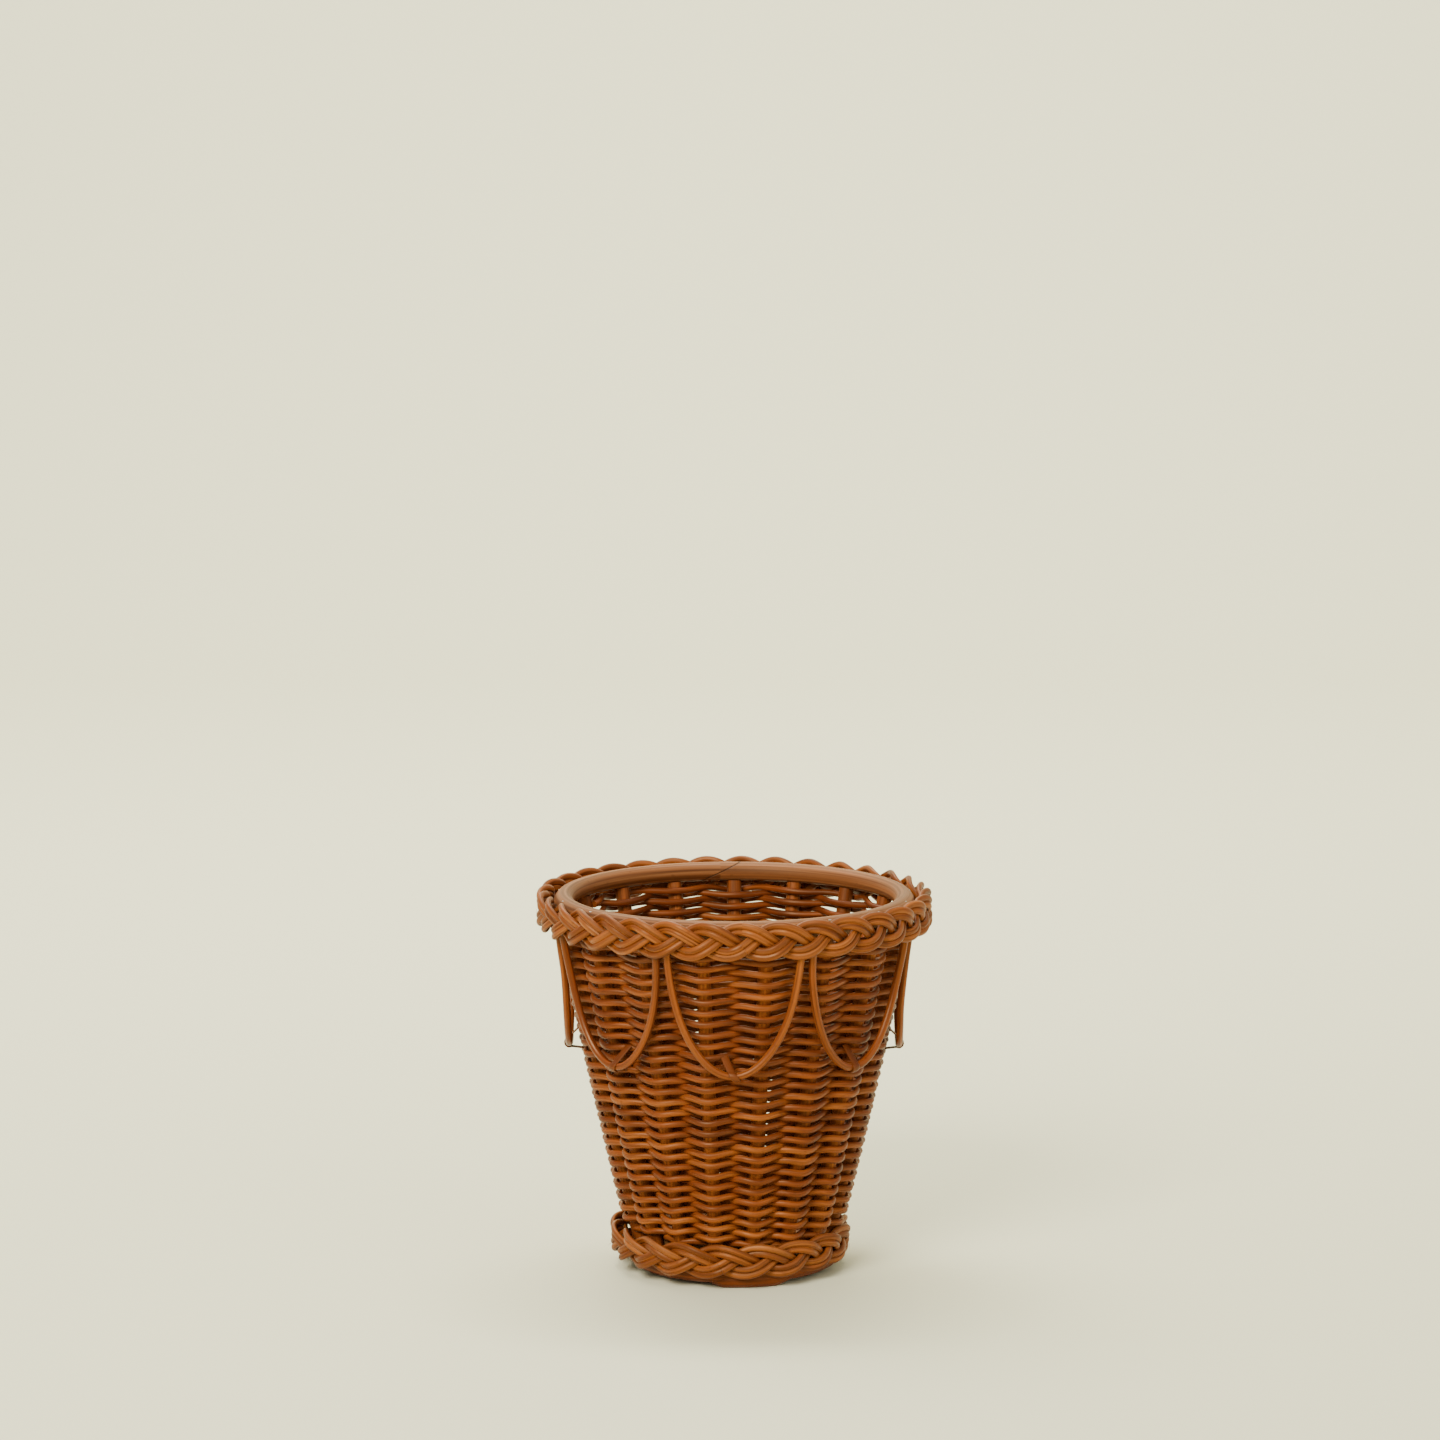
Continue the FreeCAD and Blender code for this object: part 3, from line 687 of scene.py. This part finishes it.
def make_stakes():
    """The upright poles."""
    rule = pole_rule()
    tall = STAKE_TOP - STAKE_FOOT
    points = points_for(tall, 0.0025)
    for number in range(STAKE_COUNT):
        stake = made_by(rule, "stake_pole_%02d" % (number + 1), STAKE_FINISH, Points=points,
                        Step=tall / (points - 1), Angle=STAKE_STEP * (number + 0.5),
                        Foot_Radius=FOOT_RADIUS, Foot=STAKE_FOOT, Slope=SLOPE, Belly=BELLY,
                        Diameter=STAKE_ROD, Unevenness=0.02, Ridges=0.012,
                        Tone=chance.uniform(0.3, 0.75), Seed=float(number))
        finished(stake, "stake_rattan", "stake_%02d" % (number + 1))


def make_weave():
    """The weavers, each one long reed. The first starts two rows lower, behind the foot plait."""
    rule = weave_rule()
    points_per_crossing = 16
    low_start = 2 * STAKE_COUNT
    pressed_below = FIRST_ROW + 0.5 * ROW_PITCH
    for number in range(WEAVER_COUNT):
        extra = low_start if number == 0 else 0
        points = (CROSSINGS + extra) * points_per_crossing + 1
        reed = made_by(rule, "weave_reed_%02d" % (number + 1), WEAVE_FINISH, Points=points,
                       Step=1.0 / points_per_crossing, First_Crossing=float(number * CROSSINGS - extra),
                       Foot_Radius=FOOT_RADIUS, Foot_Height=STAKE_FOOT, Slope=SLOPE,
                       Reach=REACH + 0.0002, First_Row=FIRST_ROW, Row_Pitch=ROW_PITCH,
                       Sag=0.0028, Sway=0.0012, Wander=0.0022, Belly=BELLY, Pressed_Below=pressed_below,
                       Pressed_In=0.65, Diameter=REED, Thick=1.02, Wide=1.19, Swelling=0.04,
                       Unevenness=0.11, Ridges=0.03, Tone=chance.uniform(0.28, 0.78))
        finished(reed, "weave_reed", "weaver_%02d" % (number + 1))


FIBRE_RULE = fibre_rule()


def make_fibres(name, count, radius, low, high, longest):
    """Loose fibres spread at random over a plait's outer side."""
    fibres = []
    points = 12
    for number in range(count):
        made = made_by(FIBRE_RULE, "%s_fibre_%d" % (name, number), PLAIT_FINISH, Points=points,
                       Step=1.0 / (points - 1), Angle=chance.uniform(-math.pi, math.pi),
                       Radius=radius, Height=chance.uniform(low, high),
                       Length=longest * chance.uniform(0.4, 1.0), Turn=chance.uniform(-2.8, 0.8),
                       Lean=chance.uniform(0.05, 0.4), Curl=chance.uniform(0.0, 0.5),
                       Diameter=0.00022, Unevenness=0.0, Ridges=0.0, Tone=0.95)
        fibres.append(made)
    return fibres


def make_plait(name, node, periods, turn, seed, lean=0.0, shift=0.0):
    """A flat plait of three strands, two reeds in each, which may lean out and sit off centre."""
    rule = plait_rule()
    low = Vector(map(min, *[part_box(node % (s + 1))[0] for s in range(STRAND_COUNT)]))
    high = Vector(map(max, *[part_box(node % (s + 1))[1] for s in range(STRAND_COUNT)]))
    width = high.z - low.z
    depth = PLAIT_REED * 1.3 / math.sqrt(3)
    radius = (high.x - low.x) / 2 - PLAIT_REED / 2 - depth
    pair = PLAIT_REED * 0.55
    swing = width / 2 - PLAIT_REED * 0.6 - pair
    points = points_for(2 * math.pi * radius * 1.15, 0.0015)
    for strand in range(STRAND_COUNT):
        reeds = []
        for side in (-1, 1):
            made = made_by(rule, "%s_%d_%d" % (name, strand + 1, side + 2), PLAIT_FINISH,
                           Points=points, Step=2 * math.pi / (points - 1),
                           Periods=float(periods), Phase=2 * math.pi * strand / STRAND_COUNT,
                           Turn=turn, Pair_Shift=pair * side, Swing=swing, Depth=depth,
                           Ring_Radius=radius, Ring_Height=(low.z + high.z) / 2, Flare=lean,
                           Diameter=PLAIT_REED, Thick=0.98, Wide=1.22, Wander=0.0014,
                           Unevenness=0.14, Ridges=0.06, Tone=chance.uniform(0.3, 0.8), Seed=float(seed))
            reeds.append(made)
        if strand == 0:
            outside = radius + depth + PLAIT_REED * 0.42
            reeds += make_fibres(name, 22, outside, low.z + 0.004, high.z - 0.004, 0.008)
        strand_piece = joined(reeds, "%s_strand_%d" % (name, strand + 1))
        strand_piece.data.transform(Matrix.Translation((shift, 0.0, 0.0)))
        finished(strand_piece, "plait_reed", node % (strand + 1))


def joined(pieces, name):
    """Several meshes made one piece."""
    with bpy.context.temp_override(active_object=pieces[0], selected_editable_objects=pieces):
        bpy.ops.object.join()
    pieces[0].name = name
    pieces[0].data.name = name
    return pieces[0]


def make_loops():
    """The hanging loops, and the cane that ties each one's bottom to the wall."""
    rule = loop_rule()
    front_low, front_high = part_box("hanging_loop_1")
    top = front_high.z
    top_radius = wall_radius(top) + LOOP_ROD / 2
    half_span = math.pi / LOOP_COUNT - (LOOP_ROD + LOOP_LEG_GAP) / 2 / top_radius
    longest_way = 0.24
    points = points_for(longest_way, 0.0015)
    ties = []
    for number in range(LOOP_COUNT):
        middle = number * 2 * math.pi / LOOP_COUNT
        depth = top - front_low.z - LOOP_ROD / 2 - chance.uniform(0.0, 0.0012)
        loop = made_by(rule, "garland_loop_%d" % (number + 1), LOOP_FINISH, Points=points,
                       Step=1.0 / (points - 1), Middle=middle, Half_Span=half_span, Top=top,
                       Depth=depth, Wall_Radius=top_radius, Slope=SLOPE,
                       Stand_Off=LOOP_STAND_OFF, Diameter=LOOP_ROD, Unevenness=0.08,
                       Ridges=0.025, Tuck=0.004,
                       Skew=chance.uniform(-0.01, 0.01), Tone=chance.uniform(0.35, 0.75),
                       Seed=float(number + 20))
        finished(loop, "loop_rattan", "hanging_loop_%d" % (number + 1))
        rod_radius = top_radius - depth * SLOPE + LOOP_STAND_OFF
        ties.append(make_tie(number, middle, rod_radius, top - depth))
    finished(joined(ties, "loop_cane_ties"), "tie_cane", "loop_ties")


TIE_RULE = tie_rule()


def make_tie(number, angle, rod_radius, rod_height):
    """The band round the bottom of one loop."""
    points = 60
    slant = (0.6, -0.2, 0.1, 0.3, -0.3, 0.2, 0.05, -0.25)[number]
    return made_by(TIE_RULE, "tie_%d" % (number + 1), TIE_FINISH, Points=points,
                   Step=1.0 / (points - 1), Angle=angle, Rod_Radius=rod_radius,
                   Rod_Height=rod_height, Grip=0.0033, Wall_Depth=0.0105, Rise=0.0145,
                   Fall=0.004, Slant=slant, Diameter=0.0062, Thick=1.0, Wide=0.2,
                   Unevenness=0.04, Ridges=0.02, Tone=chance.uniform(0.3, 0.7),
                   Seed=float(number + 60))


def make_foot_ring():
    """The lapped rods that the basket stands on, each thin where it starts under the one
    before."""
    rule = ring_rule()
    rod = FOOT_ROD - 0.0003
    drop = 0.0034
    lap = math.radians(36.0)
    climb = math.radians(12.0)
    first_start = math.radians(-13.5)
    share = 2 * math.pi / FOOT_ROD_COUNT
    sweep = share + lap
    points = points_for(sweep * FOOT_RING_RADIUS, 0.0012)
    for number in range(FOOT_ROD_COUNT):
        start = first_start + number * share
        piece = made_by(rule, "foot_pole_%d" % (number + 1), FOOT_FINISH, Points=points,
                        Step=sweep / (points - 1), Ring_Radius=FOOT_RING_RADIUS,
                        Ring_Height=rod / 2 + drop, Drop=drop, Start=start,
                        Climb_From=lap, Climb_Over=climb, Taper=0.13, Diameter=rod,
                        Unevenness=0.03, Ridges=0.02, Tone=chance.uniform(0.35, 0.6),
                        Seed=float(number + 40))
        finished(piece, "foot_rattan", "foot_ring_rod_%d" % (number + 1))


def make_board():
    """The board in the bottom keeps its own shape and gets its wood."""
    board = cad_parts["base_board"]
    board.data.materials.clear()
    board.data.materials.append(board_finish())
    steel = steel_finish()
    for name in ("rim_brads", "board_brads"):
        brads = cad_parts[name]
        brads.data.materials.clear()
        brads.data.materials.append(steel)


# ---- stage ----

def make_stage():
    """A pale floor that curves up into the backdrop."""
    reach = 6.0
    bend = 1.6
    back = 3.2
    outline = [(-reach, 0.0), (back, 0.0)]
    steps = 16
    for step in range(1, steps + 1):
        turn = math.pi / 2 * step / steps
        outline.append((back + bend * math.sin(turn), bend * (1 - math.cos(turn))))
    outline.append((back + bend, bend + reach))
    mesh = bpy.data.meshes.new("studio_floor")
    verts = [(side * reach, y, z) for y, z in outline for side in (-1, 1)]
    faces = [(2 * i, 2 * i + 1, 2 * i + 3, 2 * i + 2) for i in range(len(outline) - 1)]
    mesh.from_pydata(verts, [], faces)
    mesh.polygons.foreach_set("use_smooth", [True] * len(faces))
    floor = bpy.data.objects.new("studio_floor", mesh)
    bpy.context.scene.collection.objects.link(floor)
    paper = bpy.data.materials.new("studio paper")
    paper.use_nodes = True
    surface = paper.node_tree.nodes["Principled BSDF"]
    surface.inputs["Base Color"].default_value = (0.70, 0.685, 0.455, 1)
    surface.inputs["Roughness"].default_value = 0.9
    surface.inputs["Specular IOR Level"].default_value = 0.1
    floor.data.materials.append(paper)


def soft_light(name, position, target, size, power, colour):
    """A square soft box that faces a point."""
    light = bpy.data.lights.new(name, "AREA")
    light.shape = "SQUARE"
    light.size = size
    light.energy = power
    light.color = colour
    holder = bpy.data.objects.new(name, light)
    holder.location = position
    holder.rotation_euler = (target - holder.location).to_track_quat("-Z", "Y").to_euler()
    bpy.context.scene.collection.objects.link(holder)


def make_lights():
    """A large soft key from the upper left, a weak fill, one light from behind, one for the
    backdrop, and an even sky."""
    middle = Vector((0.0, 0.0, 0.15))
    soft_light("key", Vector((-1.2, -2.5, 2.1)), middle, 1.4, 165.0, (1.0, 0.97, 0.93))
    soft_light("fill", Vector((2.3, -2.2, 1.5)), middle, 2.0, 24.0, (1.0, 0.98, 0.95))
    soft_light("top", Vector((-1.0, 1.3, 2.5)), middle, 1.2, 40.0, (1.0, 0.98, 0.96))
    behind = Vector((0.0, 4.8, 1.6))
    soft_light("backdrop", Vector((0.0, 1.6, 4.4)), behind, 2.4, 470.0, (1.0, 0.98, 0.96))
    world = bpy.data.worlds.new("studio")
    world.use_nodes = True
    sky = world.node_tree.nodes["Background"]
    sky.inputs["Color"].default_value = (1.0, 0.985, 0.95, 1)
    sky.inputs["Strength"].default_value = 0.74
    bpy.context.scene.world = world


def make_camera():
    """A long lens, well above the rim, looking down by 8 degrees."""
    lens = bpy.data.cameras.new("camera")
    lens.sensor_width = 36.0
    lens.lens = 129.4
    lens.clip_end = 30.0
    camera = bpy.data.objects.new("camera", lens)
    camera.location = (0.0, -3.746, 0.947)
    camera.rotation_euler = (math.radians(90.0 - 8.2), 0.0, math.radians(0.16))
    bpy.context.scene.collection.objects.link(camera)
    bpy.context.scene.camera = camera


make_stage()
make_camera()
make_lights()
make_hoop()
make_stakes()
make_weave()
make_plait("rim_plait", "rim_plait_strand_%d", periods=11, turn=math.radians(2.6), seed=51)
make_plait("foot_plait", "foot_plait_strand_%d", periods=6, turn=math.radians(-4.5), seed=52,
           lean=0.1, shift=-0.003)
make_loops()
make_foot_ring()
make_board()

bpy.context.view_layer.update()
